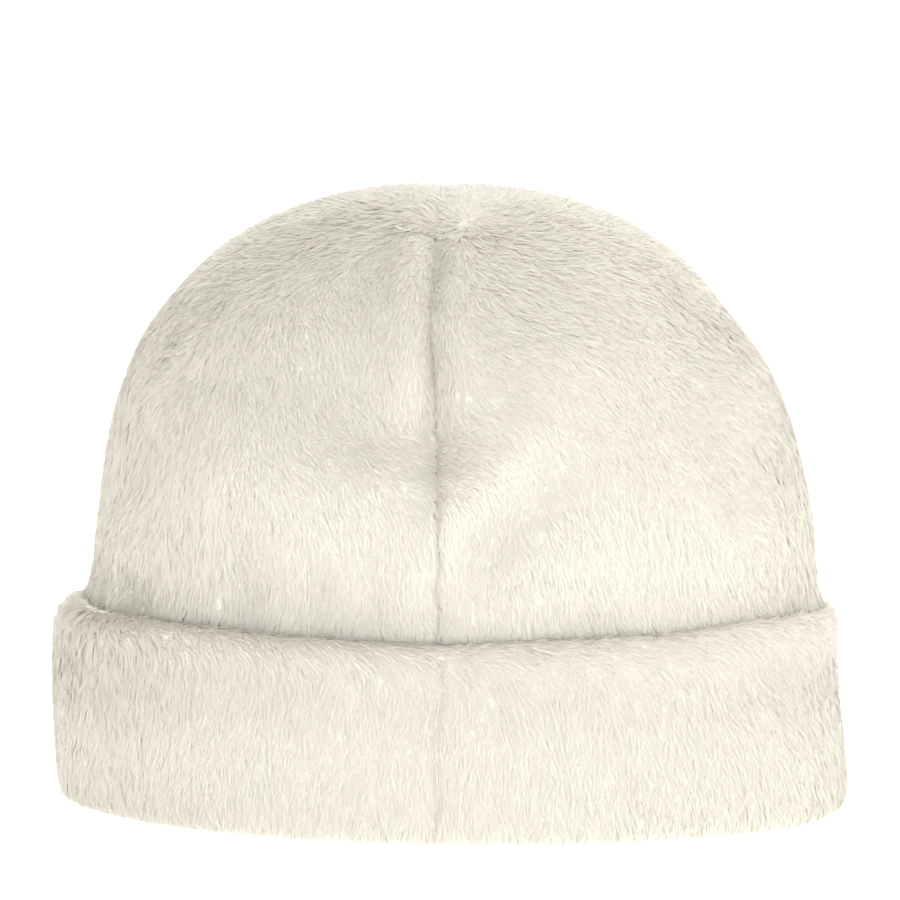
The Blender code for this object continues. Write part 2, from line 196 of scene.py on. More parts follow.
CUFF_STROKES = [Stroke(*row) for row in (
    # The lip, where the pile lies sideways
    (-92, 0.0525, -72, 0.024, 0.0060, 0.00),
    (-68, 0.0500, 0, 0.008, 0.0060, 0.00),
    (-52, 0.0525, 78, 0.026, 0.0055, 0.00),
    (-30, 0.0530, 84, 0.036, 0.0055, 0.05),
    (6, 0.0535, 88, 0.036, 0.0055, 0.10),
    (30, 0.0535, 84, 0.026, 0.0055, 0.10),
    (66, 0.0540, 70, 0.030, 0.0055, 0.10),
    (115, 0.0530, 80, 0.044, 0.0055, 0.15),
    (160, 0.0530, 84, 0.044, 0.0055, 0.15),
    (205, 0.0530, -84, 0.044, 0.0055, 0.15),
    (248, 0.0530, -80, 0.040, 0.0055, 0.10),
    # The band's outer face
    (-66, 0.0400, 14, 0.020, 0.0080, 0.20),
    (-44, 0.0400, 16, 0.020, 0.0070, 0.15),
    (-22, 0.0420, 14, 0.018, 0.0050, 0.10),
    (8, 0.0430, 26, 0.016, 0.0045, 0.10),
    (26, 0.0415, 34, 0.016, 0.0050, 0.12),
    (54, 0.0380, 32, 0.020, 0.0080, 0.15),
    (60, 0.0250, 20, 0.020, 0.0080, 0.05),
    (40, 0.0280, 14, 0.014, 0.0080, 0.03),
    (-24, 0.0300, 3, 0.030, 0.0200, 0.00),
    (-60, 0.0300, -3, 0.030, 0.0200, 0.10),
    (12, 0.0200, 2, 0.024, 0.0140, 0.00),
    (150, 0.0300, -10, 0.040, 0.0160, 0.10),
    (215, 0.0280, 8, 0.040, 0.0160, 0.10),
)]

# Weight of hanging straight down beside the strokes', and how messy calm pile is
STRAIGHT_DOWN_WEIGHT = 0.20
CALM_MESS = 0.10

# Painted shade: where the pile is messy or lies sideways, its colour is darkened by these shares, for the
# shade among its opened fibres
SHADE_BY_MESS = 0.50
SHADE_BY_TURN = 0.18

# Painted shade under the cuff's lip: the pile's colour is darkened by this share at the band's middle
BAND_SHADE = 0.17
BAND_HEIGHT = 0.040
BAND_REACH = 0.012

# Pile that is parted at a seam shows its shaded roots, by this share
OPEN_AT_SEAM = 0.30

# From the whorl's heart the pile radiates over the whole top, and lower it hangs down
WHORL_HEART = 0.001
WHORL_NEAR = 0.003
RADIATES_FROM_HEIGHT = 0.136
RADIATES_AT_HEIGHT = 0.158

# A stroke is no longer felt past this many reaches, squared
FARTHEST_FELT = 9.0

# Seams: the pile fills and evens the dips at the side seams, and parts at the centre ones
CENTRE_SEAM_REACH = 0.009
OUTER_FACE_SHARE = 0.45
INNER_FACE_SHARE = 0.50
SIDE_SEAM_FILL = 0.0014
SEAM_FILL_WIDTH = 0.0048
SEAM_MEETING_REACH = 0.0040
EVEN_FROM = 0.0025
EVEN_REACH = 0.0100
EVEN_BLUR = 0.0045

# Over the top of the head, in front of the join of the tips, the pile hides the centre seam as well
COVERED_FROM_HEIGHT = 0.150
COVERED_FROM_DEPTH = -0.0285

# Sewn seams under the pile: the allowance, and the fine fold of its edges over it, both coloured darker,
# partly as painted shade of the seam
SEAM_RADIUS = 0.00090
SEAM_SINK = 0.00095
FOLD_RADIUS = 0.00030
FOLD_SINK = 0.00002
CUFF_FOLD_SINK = -0.00015
SEAM_SIDES = 6
SEAM_MERGE = 0.00005

# Parting of the pile at a seam, and the line along it where no fibre is rooted
PARTING_REACH = 0.0026
PARTING_LEAN = 0.08
BARE_AT_SEAM = 0.00007

# Painted shade: near a seam or the whorl, where the ground shows between the fibres, its colour is darkened
GROUND_SHADE_FROM = 0.0010
GROUND_SHADE_REACH = 0.0045

# Along a hidden seam the pile is muddled
MUDDLE_REACH = 0.0060
MUDDLE = 0.35

# Step in which a place above the crest of the lip is lowered onto it
CREST_STEP = 0.0002

# Just above the cuff's hidden foot the crown's cloth leans out towards the lip
LEAN_OUT = 0.0043
LEAN_OUT_HEIGHT = 0.052
LEAN_OUT_REACH = 0.0085

# The pile at the crown's foot flares over the crevice, but for dark gaps: azimuth, reach in degrees, share
FLARE_FROM = 0.0545
FLARE_TO = 0.0610
FLARE = 0.36
FlareGap = namedtuple("FlareGap", "azimuth reach share")
FLARE_GAPS = (
    FlareGap(-62.0, 13.0, 1.0),
    FlareGap(-26.0, 4.0, 0.6),
    FlareGap(-13.0, 4.0, 0.4),
    FlareGap(4.0, 4.0, 0.4),
    FlareGap(60.0, 6.0, 0.6),
)

# The crest of the lip, by the upward share of the cloth's normal, stands higher at the back
CREST_FROM = 0.2
CREST_AT = 0.8
LIP_RISE = 0.0010
LIP_RISE_REACH = 48.0

# Soft creases that the cloth has over the CAD's folds: a positive depth is a valley
Crease = namedtuple("Crease", "azimuth height end_azimuth end_height width depth")
CROWN_CREASES = (
    Crease(-5.5, 0.1540, -3.1, 0.1010, 0.0046, 0.0014),
    Crease(-4.0, 0.1300, -3.2, 0.1080, 0.0046, 0.0010),
    Crease(-11.6, 0.1580, -7.6, 0.1260, 0.0042, -0.0013),
    Crease(-34.0, 0.1230, -10.0, 0.1200, 0.0140, 0.0022),
    Crease(-42.0, 0.0920, -14.0, 0.0935, 0.0085, -0.0006),
    Crease(-1.0, 0.0770, 13.4, 0.1070, 0.0075, -0.0014),
    Crease(4.8, 0.0790, 15.5, 0.1015, 0.0070, 0.0022),
    Crease(-37.5, 0.0880, -31.5, 0.0620, 0.0046, 0.0011),
    Crease(-22.5, 0.0740, -19.0, 0.0620, 0.0046, 0.0010),
    Crease(-12.6, 0.0760, -11.5, 0.0630, 0.0042, 0.0008),
    Crease(-62.0, 0.0620, -56.0, 0.0590, 0.0060, 0.0030),
    Crease(-32.0, 0.1550, -47.0, 0.1190, 0.0080, 0.0009),
    Crease(36.0, 0.1420, 57.0, 0.1330, 0.0080, 0.0008),
)

# The cuff's join wanders a little from the lip to the base
SeamPlace = namedtuple("SeamPlace", "azimuth height")
CUFF_SEAM = (
    SeamPlace(-2.2, 0.0535),
    SeamPlace(-1.9, 0.0490),
    SeamPlace(-1.2, 0.0430),
    SeamPlace(-1.5, 0.0370),
    SeamPlace(-2.2, 0.0300),
    SeamPlace(-2.3, 0.0250),
    SeamPlace(-1.5, 0.0190),
    SeamPlace(-1.7, 0.0110),
    SeamPlace(-1.5, 0.0030),
)

# Where the rims of two crown panels meet, and whether the pile hides the seam there
Meeting = namedtuple("Meeting", "place hidden")

# Bundles of fibres to the square metre: fine at the back, and fewer but wider ones at the front
FIBRES_AT_BACK = 4600000.0
FIBRES_AT_FRONT = 2700000.0
THINS_FROM_AZIMUTH = 60
THINS_TO_AZIMUTH = 130

# Pieces of the pile: which cloth wall each grows on, and between which azimuths
Pile = namedtuple("Pile", "name wall low_azimuth high_azimuth")
PILES = (
    Pile("crown_back_left_pile", "crown_back_left", -180, 180),
    Pile("crown_back_right_pile", "crown_back_right", -180, 180),
    Pile("crown_front_left_pile", "crown_front_left", -180, 180),
    Pile("crown_front_right_pile", "crown_front_right", -180, 180),
    Pile("cuff_back_pile", "cuff", -90, 90),
    Pile("cuff_front_pile", "cuff", 90, 270),
)
SEED_STEP = 100

# Numbers that a bed keeps at each place, beside the direction of its brushing
BED_NUMBERS = ("mess", "open", "growth", "flare", "thick")

# Ribs of the knitted backing round the hat, 1.1 mm apart at the cuff
BACKING_RIBS = 540.0

# Colours, sRGB
FIBRE_TIP = "F4F2ED"
FIBRE_ROOT = "EEECE5"
# FIBRE_SHADE is the colour that the pile's random tone and its painted shade darken it towards
FIBRE_SHADE = "D8D4CA"
# The ground is darker than the fibres as painted shade under the pile, and the bare cream darker still as
# painted shade near the seams
GROUND_CREAM = "D4D0C7"
GROUND_PALE = "DBD8CF"
SHADED_BARE_CREAM = "BEBAB0"
# The seam's colours are darker than the pile, partly as painted shade of the seam's hollow
SEAM_SHADE = "B9B2A4"
SEAM_LIGHT = "C8C2B5"
BACKING_CREAM = "D2CCBD"
SHEEN_CREAM = "FFF9F2"
FLOOR_WHITE = "F6F6F4"
LIGHT_WHITE = "FFFFFF"

# Camera: on a photograph of 900 by 900 pixels the hat is 795 pixels wide
CAMERA_EYE = Vector((0.0009, -2.3836, 0.2800))
CAMERA_AIM = Vector((-0.0010, 0.0112, 0.0954))
CAMERA_ROLL = radians(0.8)
CAMERA_LENS = 347.5
CAMERA_SENSOR = 36.0

# Studio: strengths of the surround and of the floor's own light, and the lamps round the hat
AT_HORIZON = 1.07
OVERHEAD = 1.20
ON_THE_LEFT = 0.84
ON_THE_RIGHT = 1.10
FLOOR_GLOW = 1.14
FLOOR_HALF = 20.0
LAMPS_AIM = Vector((0.0, 0.0, 0.08))
Lamp = namedtuple("Lamp", "name place watts size")
LAMPS = (
    Lamp("key", (1.2, -1.8, 1.0), 9.0, 1.2),
    Lamp("front", (0.0, -2.4, 0.5), 15.0, 1.6),
    Lamp("right_rim", (2.0, 0.6, 0.6), 6.0, 1.2),
    Lamp("top", (0.0, 1.2, 2.0), 37.0, 1.2),
)


def linear(code):
    """Linear colour of an sRGB hex code."""
    channels = []
    for start in (0, 2, 4):
        value = int(code[start:start + 2], 16) / 255
        channels.append(value / 12.92 if value <= 0.04045 else ((value + 0.055) / 1.055) ** 2.4)
    return (*channels, 1.0)


def add_node(tree, kind, inputs=None, **settings):
    """Adds a node with its settings. An input takes a value, or a link where it is given a socket."""
    node = tree.nodes.new(kind)
    for name, value in settings.items():
        setattr(node, name, value)
    for key, value in (inputs or {}).items():
        if isinstance(value, bpy.types.NodeSocket):
            tree.links.new(value, node.inputs[key])
        else:
            node.inputs[key].default_value = value
    return node


def compass(azimuth):
    """Level unit vector at an azimuth."""
    angle = radians(azimuth)
    return Vector((sin(angle), -cos(angle), 0.0))


def azimuth_of(point):
    """Azimuth of a point, from -180 to 180."""
    return degrees(atan2(point.x, -point.y))


def turn_between(azimuth, other):
    """Signed angle from one azimuth to another, from -180 to 180."""
    return (azimuth - other + 180) % 360 - 180


def smooth_step(low, high, value):
    """0 below low, 1 above high, and eased between them."""
    share = min(max((value - low) / (high - low), 0.0), 1.0)
    return share * share * (3 - 2 * share)


# Materials

def new_material(name, roughness, specular):
    """A material, with its node tree and its shader."""
    material = bpy.data.materials.new(name)
    material.use_nodes = True
    tree = material.node_tree
    shader = tree.nodes["Principled BSDF"]
    shader.inputs["Roughness"].default_value = roughness
    shader.inputs["Specular IOR Level"].default_value = specular
    return material, tree, shader


def mottled(tree, shader, dark, pale, grains, detail, depth, strength):
    """Two colours mixed by a noise of so many grains to the metre, which also gives a fine relief."""
    place = add_node(tree, "ShaderNodeTexCoord")
    noise = add_node(tree, "ShaderNodeTexNoise", {0: place.outputs["Object"], 2: grains, 3: detail})
    colours = {0: noise.outputs[0], 6: linear(dark), 7: linear(pale)}
    relief = {"Strength": strength, "Distance": depth, "Height": noise.outputs[0]}
    tree.links.new(add_node(tree, "ShaderNodeBump", relief).outputs[0], shader.inputs["Normal"])
    return add_node(tree, "ShaderNodeMix", colours, data_type="RGBA").outputs[2]


def plush_pile_material():
    """Brushed polyester pile: matt, with a soft bright rim. Roots are a shade darker than the tips."""
    material, tree, shader = new_material("cream_plush_pile", roughness=0.85, specular=0.25)
    shader.inputs["Sheen Weight"].default_value = 0.20
    shader.inputs["Sheen Roughness"].default_value = 0.45
    shader.inputs["Sheen Tint"].default_value = linear(SHEEN_CREAM)
    along = add_node(tree, "ShaderNodeAttribute", attribute_name="along").outputs["Fac"]
    tone = add_node(tree, "ShaderNodeAttribute", attribute_name="tone").outputs["Fac"]
    # The fibres' random tone, less their painted shade, mixes the colour towards FIBRE_SHADE
    tips = {0: tone, 6: linear(FIBRE_SHADE), 7: linear(FIBRE_TIP)}
    toned = add_node(tree, "ShaderNodeMix", tips, data_type="RGBA").outputs[2]
    grown = add_node(tree, "ShaderNodeMapRange", {0: along, 1: 0.0, 2: ROOTS_TO, 3: 0.0, 4: 1.0}).outputs[0]
    whole = {0: grown, 6: linear(FIBRE_ROOT), 7: toned}
    coloured = add_node(tree, "ShaderNodeMix", whole, data_type="RGBA").outputs[2]
    tree.links.new(coloured, shader.inputs["Base Color"])
    through = add_node(tree, "ShaderNodeBsdfTranslucent", {"Color": coloured}).outputs[0]
    mixed = add_node(tree, "ShaderNodeMixShader", {0: LIGHT_THROUGH, 1: shader.outputs[0], 2: through})
    tree.links.new(mixed.outputs[0], tree.nodes["Material Output"].inputs["Surface"])
    return material


def plush_ground_material():
    """Knitted ground: matt cream mottled by the fibres' roots, with painted shade darker than the pile and
    darker still where bare near the seams and the whorl.
    """
    material, tree, shader = new_material("cream_plush_ground", roughness=0.95, specular=0.15)
    rooted = mottled(tree, shader, GROUND_CREAM, GROUND_PALE, grains=700.0, detail=3.0, depth=0.0004,
                     strength=0.5)
    # Where the pile does not cover it, the ground turns to a darker colour: painted shade
    covered = add_node(tree, "ShaderNodeAttribute", attribute_name="covered").outputs["Fac"]
    colours = {0: covered, 6: linear(SHADED_BARE_CREAM), 7: rooted}
    colour = add_node(tree, "ShaderNodeMix", colours, data_type="RGBA")
    tree.links.new(colour.outputs[2], shader.inputs["Base Color"])
    return material


def seam_edges_and_shade_material():
    """The sewn edges at the bottom of a seam, where little light comes: darker than the pile, partly their
    own colour and partly painted shade.
    """
    material, tree, shader = new_material("sewn_seam_edges", roughness=0.95, specular=0.1)
    colour = mottled(tree, shader, SEAM_SHADE, SEAM_LIGHT, grains=900.0, detail=2.0, depth=0.0003,
                     strength=0.6)
    tree.links.new(colour, shader.inputs["Base Color"])
    return material


def knit_backing_material():
    """The wrong side of the plush: a fine warp knit whose ribs run up and down, 1.1 mm apart."""
    material, tree, shader = new_material("cream_knit_backing", roughness=0.9, specular=0.2)
    shader.inputs["Base Color"].default_value = linear(BACKING_CREAM)
    place = add_node(tree, "ShaderNodeTexCoord")
    parts = add_node(tree, "ShaderNodeSeparateXYZ", {0: place.outputs["Object"]})
    angle = add_node(tree, "ShaderNodeMath", {0: parts.outputs[0], 1: parts.outputs[1]}, operation="ARCTAN2")
    phase = add_node(tree, "ShaderNodeMath", {0: angle.outputs[0], 1: BACKING_RIBS}, operation="MULTIPLY")
    rib = add_node(tree, "ShaderNodeMath", {0: phase.outputs[0]}, operation="SINE")
    bump = add_node(tree, "ShaderNodeBump", {"Strength": 0.6, "Distance": 0.0002, "Height": rib.outputs[0]})
    tree.links.new(bump.outputs[0], shader.inputs["Normal"])
    return material


# Cloth walls

def evaluated_mesh(piece, name):
    """The piece's mesh with its modifiers applied, as a plain mesh."""
    bpy.context.view_layer.update()
    graph = bpy.context.evaluated_depsgraph_get()
    mesh = bpy.data.meshes.new_from_object(piece.evaluated_get(graph), depsgraph=graph)
    mesh.name = name
    return mesh


def add_object(name, mesh):
    """Links a new object with a mesh, at the origin."""
    piece = bpy.data.objects.new(name, mesh)
    bpy.context.scene.collection.objects.link(piece)
    return piece


class Crown:
    """Sizes of the crown's dome, read from the frame, and the way out of it at a point."""

    def __init__(self):
        corners = [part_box(name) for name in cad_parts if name.startswith("crown")]
        self.low = Vector(min(low[axis] for low, _ in corners) for axis in range(3))
        self.high = Vector(max(high[axis] for _, high in corners) for axis in range(3))
        self.middle = (self.low + self.high) / 2
        self.half_width = (self.high.x - self.low.x) / 2
        self.half_depth = (self.high.y - self.low.y) / 2
        self.dome_height = self.high.z - DOME_FROM_HEIGHT

    def outward(self, point):
        """Unit vector that points out of the crown at a point."""
        flat = Vector(((point.x - self.middle.x) / self.half_width**2,
                       (point.y - self.middle.y) / self.half_depth**2, 0.0))
        lift = max(point.z - DOME_FROM_HEIGHT, 0.0) / self.dome_height**2
        return (flat + Vector((0.0, 0.0, lift))).normalized()


crown_form = Crown()


def merged_copy(node):
    """A copy of a node's mesh with its doubles merged and its triangles joined to quads."""
    build = bmesh.new()
    build.from_mesh(node.data)
    bmesh.ops.remove_doubles(build, verts=build.verts, dist=MERGE_DISTANCE)
    bmesh.ops.join_triangles(build, faces=build.faces, angle_face_threshold=FLAT_QUAD_LIMIT,
                             angle_shape_threshold=FLAT_QUAD_LIMIT)
    build.normal_update()
    return build


def wears_pile(node_name, place, normal):
    """Whether the cloth wears pile at a place with a normal, or shows its knitted back."""
    if node_name == "cuff":
        return True
    return normal.dot(crown_form.outward(place)) > 0.0


def side_seam_places(build):
    """Places along a crown panel's side seam, on its outer face."""
    places = []
    for edge in build.edges:
        outer = [face.normal.dot(crown_form.outward(face.calc_center_median())) > OUTER_FACE_SHARE
                 for face in edge.link_faces]
        if len(outer) == 2 and outer[0] != outer[1]:
            places += [vertex.co.copy() for vertex in edge.verts
                       if abs(vertex.co.x) > CENTRE_SEAM_REACH and vertex.co.z > SEAMS_FROM]
    return places


def tree_of(places):
    """Search tree of places."""
    tree = KDTree(len(places))
    for index, place in enumerate(places):
        tree.insert(place, index)
    tree.balance()
    return tree


def sink_crown_pile(build):
    """Moves a crown panel's outer face in by the pile's depth. The thinnest wall is kept, and the dip
    along the side seam is filled, as the pile does."""
    facing = {vertex: vertex.normal.dot(crown_form.outward(vertex.co)) for vertex in build.verts}
    inner = tree_of([vertex.co for vertex in build.verts if facing[vertex] < -INNER_FACE_SHARE])
    seam = tree_of(side_seam_places(build))
    moves = []
    for vertex in build.verts:
        if facing[vertex] > 0.0:
            wall = inner.find(vertex.co)[2]
            depth = min(PILE_DEPTH, max(wall - THINNEST_WALL, 0.0))
            depth -= SIDE_SEAM_FILL * exp(-(seam.find(vertex.co)[2] / SEAM_FILL_WIDTH)**2)
            moves.append((vertex, crown_form.outward(vertex.co) * depth))
    for vertex, move in moves:
        vertex.co -= move


def sink_cuff_pile(build):
    """Moves the cuff's face in by the pile's depth, apart from its flat base and the crest of its lip."""
    moves = []
    for vertex in build.verts:
        depth = PILE_DEPTH * smooth_step(BASE_FLAT, BASE_ROUNDING, vertex.co.z)
        crest = smooth_step(CREST_FROM, CREST_AT, vertex.normal.z)
        depth *= 1.0 - crest
        rise = LIP_RISE * crest * exp(-(azimuth_of(vertex.co) / LIP_RISE_REACH)**2)
        moves.append((vertex, vertex.normal * depth - Vector((0.0, 0.0, rise))))
    for vertex, move in moves:
        vertex.co -= move


def make_wall(node_name, ground, backing):
    """The cloth wall that stands for a CAD node, with the side that wears pile sunk under it."""
    build = merged_copy(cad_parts[node_name])
    if node_name == "cuff":
        sink_cuff_pile(build)
    else:
        sink_crown_pile(build)
    build.normal_update()
    for face in build.faces:
        face.smooth = True
        face.material_index = 0 if wears_pile(node_name, face.calc_center_median(), face.normal) else 1
    vertices = [tuple(vertex.co) for vertex in build.verts]
    build.verts.index_update()
    faces = [[vertex.index for vertex in face.verts] for face in build.faces]
    sides = [face.material_index for face in build.faces]
    build.free()
    mesh = bpy.data.meshes.new(node_name + "_draft")
    mesh.from_pydata(vertices, [], faces)
    mesh.materials.append(ground)
    mesh.materials.append(backing)
    mesh.polygons.foreach_set("material_index", sides)
    mesh.shade_smooth()
    draft = add_object(node_name + "_draft", mesh)
    rounding = draft.modifiers.new("rounding", "SUBSURF")
    rounding.levels = ROUND_LEVELS
    rounding.render_levels = ROUND_LEVELS
    wall = add_object(node_name + "_cloth", evaluated_mesh(draft, node_name + "_cloth"))
    bpy.data.objects.remove(draft)
    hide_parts(node_name)
    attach(wall, "root")
    return wall


# Brushing

def surface_place(tree, azimuth, height):
    """Place where the outer surface is met at an azimuth and a height, or just under its crest."""
    level = compass(azimuth)
    hit = None
    while hit is None:
        hit = tree.ray_cast(level + Vector((0.0, 0.0, height)), -level)[0]
        height -= CREST_STEP
    return hit


def brushed(place, normal, whorl, strokes):
    """Direction of the pile's brushing at a place, how messy it is, and the painted shade that darkens it."""
    east = Vector((-place.y, place.x, 0.0)).normalized()
    east = (east - normal * east.dot(normal)).normalized()
    hanging = east.cross(normal)
    if hanging.z > 0:
        hanging = -hanging
    calm = hanging
    flow = hanging * STRAIGHT_DOWN_WEIGHT
    if whorl is not None:
        radial = place - whorl
        radial = (radial - normal * radial.dot(normal)).normalized()
        share = smooth_step(RADIATES_FROM_HEIGHT, RADIATES_AT_HEIGHT, place.z)
        share *= smooth_step(WHORL_HEART, WHORL_NEAR, (place - whorl).length)
        flow = flow * (1.0 - share) + radial * share
        calm = (radial * share + hanging * (1.0 - share)).normalized()
    mess = CALM_MESS
    for stroke, at in strokes:
        offset = place - at
        nearness = (hypot(offset.x, offset.y) / stroke.sideways)**2 + (offset.z / stroke.upright)**2
        if nearness > FARTHEST_FELT:
            continue
        weight = exp(-nearness)
        turn = radians(stroke.turn)
        flow += (hanging * cos(turn) + east * sin(turn)) * weight
        mess += stroke.mess * weight
    flow.normalize()
    mess = min(mess, 1.0)
    # The last value is painted shade: messy or sideways pile is darkened
    return flow, mess, SHADE_BY_MESS * mess + SHADE_BY_TURN * (1.0 - max(flow.dot(calm), 0.0))


def growth_at(node_name, place, normal):
    """Share of the full pile that grows at a place."""
    if node_name != "cuff":
        return smooth_step(CROWN_PILE_FROM, CROWN_PILE_FROM + CROWN_PILE_THICKENS, place.z)
    outward_share = normal.x * place.x + normal.y * place.y
    if outward_share < 0 and place.z < CUFF_BACK_PILE_FROM:
        return 0.0
    off_the_base = smooth_step(CUFF_PILE_FROM, CUFF_PILE_FULL_AT, place.z)
    return smooth_step(UNDERSIDE_BARE_TO, UNDERSIDE_FULL_FROM, normal.z) * off_the_base


def thickness_at(place):
    """Bundles of fibres to the square metre at a place."""
    thins = smooth_step(THINS_FROM_AZIMUTH, THINS_TO_AZIMUTH, abs(azimuth_of(place)))
    return FIBRES_AT_BACK + (FIBRES_AT_FRONT - FIBRES_AT_BACK) * thins


def flare_at(node_name, place):
    """How much the pile at the crown's foot stands off to hang over the lip."""
    if node_name == "cuff":
        return 0.0
    share = 1.0 - smooth_step(FLARE_FROM, FLARE_TO, place.z)
    for gap in FLARE_GAPS:
        share *= 1.0 - gap.share * exp(-(turn_between(azimuth_of(place), gap.azimuth) / gap.reach)**2)
    return share


def is_outer(face):
    """Whether a face belongs to the outer side of a crown panel, and not to its cut edges."""
    return face.normal.dot(crown_form.outward(face.center)) > OUTER_FACE_SHARE


def outer_rim(wall):
    """Edges at the rim of a crown panel's outer side."""
    counts = {}
    for face in wall.data.polygons:
        if is_outer(face):
            for edge in face.edge_keys:
                counts[edge] = counts.get(edge, 0) + 1
    return [edge for edge, count in counts.items() if count == 1]


def seam_meetings(walls):
    """For each crown panel, where vertices of its rim meet the next panel's halfway, and whether the
    pile hides the seam there."""
    rims = {name: outer_rim(wall) for name, wall in walls.items()}
    places = {name: {index: walls[name].data.vertices[index].co.copy() for edge in rim for index in edge}
              for name, rim in rims.items()}
    meetings = {}
    for name, own in places.items():
        met = {}
        for other, theirs in places.items():
            if other == name or not theirs:
                continue
            same_side = name.split("_")[-1] == other.split("_")[-1]
            tree = tree_of(list(theirs.values()))
            for index, place in own.items():
                nearest, _, distance = tree.find(place)
                if distance < (met[index][0] if index in met else SEAM_MEETING_REACH):
                    middle = (place + nearest) / 2
                    covered = middle.z > COVERED_FROM_HEIGHT and middle.y > COVERED_FROM_DEPTH
                    met[index] = (distance, Meeting(middle, same_side or covered))
        meetings[name] = {index: meeting for index, (_, meeting) in met.items()}
    return meetings


def outer_vertices(wall):
    """Vertices on a crown panel's outer side."""
    used = {index for face in wall.data.polygons if is_outer(face) for index in face.vertices}
    return [wall.data.vertices[index] for index in sorted(used)]


def even_hidden_seams(walls):
    """Evens the crown's outer side across the seams that the pile hides."""
    seams = tree_of([meeting.place for met in seam_meetings(walls).values() for meeting in met.values()
                     if meeting.hidden])
    outer = [vertex for wall in walls.values() for vertex in outer_vertices(wall)]
    around = tree_of([vertex.co.copy() for vertex in outer if seams.find(vertex.co)[2] > EVEN_FROM])
    for vertex in outer:
        gap = seams.find(vertex.co)[2]
        if gap > EVEN_REACH:
            continue
        way = crown_form.outward(vertex.co)
        near = [(exp(-(distance / EVEN_BLUR)**2), (place - vertex.co).dot(way))
                for place, _, distance in around.find_range(vertex.co, EVEN_REACH)]
        rise = sum(weight * height for weight, height in near) / sum(weight for weight, _ in near)
        vertex.co += way * rise * (1.0 - smooth_step(EVEN_FROM, EVEN_REACH, gap))
    for wall in walls.values():
        wall.data.update()


def surface_of(walls):
    """Search tree of the faces of cloth walls."""
    vertices = []
    faces = []
    for wall in walls.values():
        start = len(vertices)
        vertices += [vertex.co.copy() for vertex in wall.data.vertices]
        faces += [tuple(index + start for index in face.vertices) for face in wall.data.polygons]
    return BVHTree.FromPolygons(vertices, faces)


def press_creases(walls):
    """Presses the soft creases into the crown's cloth, and leans it out towards the lip."""
    surface = surface_of(walls)
    lines = [(surface_place(surface, row.azimuth, row.height),
              surface_place(surface, row.end_azimuth, row.end_height), row) for row in CROWN_CREASES]
    for wall in walls.values():
        for vertex in wall.data.vertices:
            depth = -LEAN_OUT * exp(-((vertex.co.z - LEAN_OUT_HEIGHT) / LEAN_OUT_REACH)**2)
            for start, end, row in lines:
                share = intersect_point_line(vertex.co, start, end)[1]
                gap = (start.lerp(end, min(max(share, 0.0), 1.0)) - vertex.co).length
                depth += row.depth * exp(-(gap / row.width)**2)
            vertex.co -= crown_form.outward(vertex.co) * depth
        wall.data.update()


def mark_ground_shade(wall, seams, whorl):
    """Keeps on a wall where its pile covers it well and its ground takes no extra painted shade: away from
    the crown's seams, and twice as far from the whorl."""
    shares = []
    for vertex in wall.data.vertices:
        share = smooth_step(GROUND_SHADE_FROM, GROUND_SHADE_REACH, seams.find(vertex.co)[2])
        share *= smooth_step(GROUND_SHADE_FROM, GROUND_SHADE_REACH * 2, (vertex.co - whorl).length)
        shares.append(share)
    covered = wall.data.attributes.new("covered", "FLOAT", "POINT")
    covered.data.foreach_set("value", shares)


def make_bed(wall, pile, whorl, strokes, meetings):
    """The part of a cloth wall that a pile grows on, with its brushing kept as attributes."""
    source = wall.data
    on_cuff = pile.wall == "cuff"
    middle = (pile.low_azimuth + pile.high_azimuth) / 2
    half = (pile.high_azimuth - pile.low_azimuth) / 2
    picked = []
    for face in source.polygons:
        within = abs(turn_between(azimuth_of(face.center), middle)) <= half
        grows = growth_at(pile.wall, face.center, face.normal) > 0.0
        if within and grows and (on_cuff or is_outer(face)):
            picked.append(tuple(face.vertices))
    used = sorted({index for face in picked for index in face})
    number = {index: count for count, index in enumerate(used)}
    mesh = bpy.data.meshes.new(pile.name + "_bed")
    mesh.from_pydata([meetings[index].place if index in meetings else source.vertices[index].co
                      for index in used], [],
                     [[number[index] for index in face] for face in picked])
    mesh.shade_smooth()
    mesh.update()
    flows = []
    rows = []
    for index in used:
        place = source.vertices[index].co
        normal = source.vertices[index].normal
        flow, mess, pile_shade = brushed(place, normal, whorl, strokes)
        # Painted shade on the cuff's band under the lip
        if on_cuff:
            pile_shade += BAND_SHADE * exp(-((place.z - BAND_HEIGHT) / BAND_REACH)**2)
        flows += flow[:]
        rows.append((mess, pile_shade, growth_at(pile.wall, place, normal), flare_at(pile.wall, place),
                     thickness_at(place)))
    mesh.attributes.new("comb", "FLOAT_VECTOR", "POINT").data.foreach_set("vector", flows)
    for name, values in zip(BED_NUMBERS, zip(*rows)):
        mesh.attributes.new(name, "FLOAT", "POINT").data.foreach_set("value", values)
    return add_object(pile.name + "_bed", mesh)


# Seams

def line_object(name, vertices, edges):
    """An object of bare edges."""
    mesh = bpy.data.meshes.new(name)
    mesh.from_pydata(vertices, edges, [])
    return add_object(name, mesh)


def panel_sides(wall, meetings, hidden):
    """Edges along one crown panel's seams: those that the pile hides, or those that part it."""
    vertices = []
    edges = []
    for first, second in outer_rim(wall):
        if first not in meetings or second not in meetings:
            continue
        start, end = meetings[first], meetings[second]
        if (start.hidden or end.hidden) == hidden and min(start.place.z, end.place.z) > SEAMS_FROM:
            edges.append((len(vertices), len(vertices) + 1))
            vertices += [start.place, end.place]
    return vertices, edges


def joined_lines(name, parts):
    """One object of the edges of several parts."""
    vertices = []
    edges = []
    for part_vertices, part_edges in parts:
        start = len(vertices)
        vertices += part_vertices
        edges += [(first + start, second + start) for first, second in part_edges]
    return line_object(name, vertices, edges)


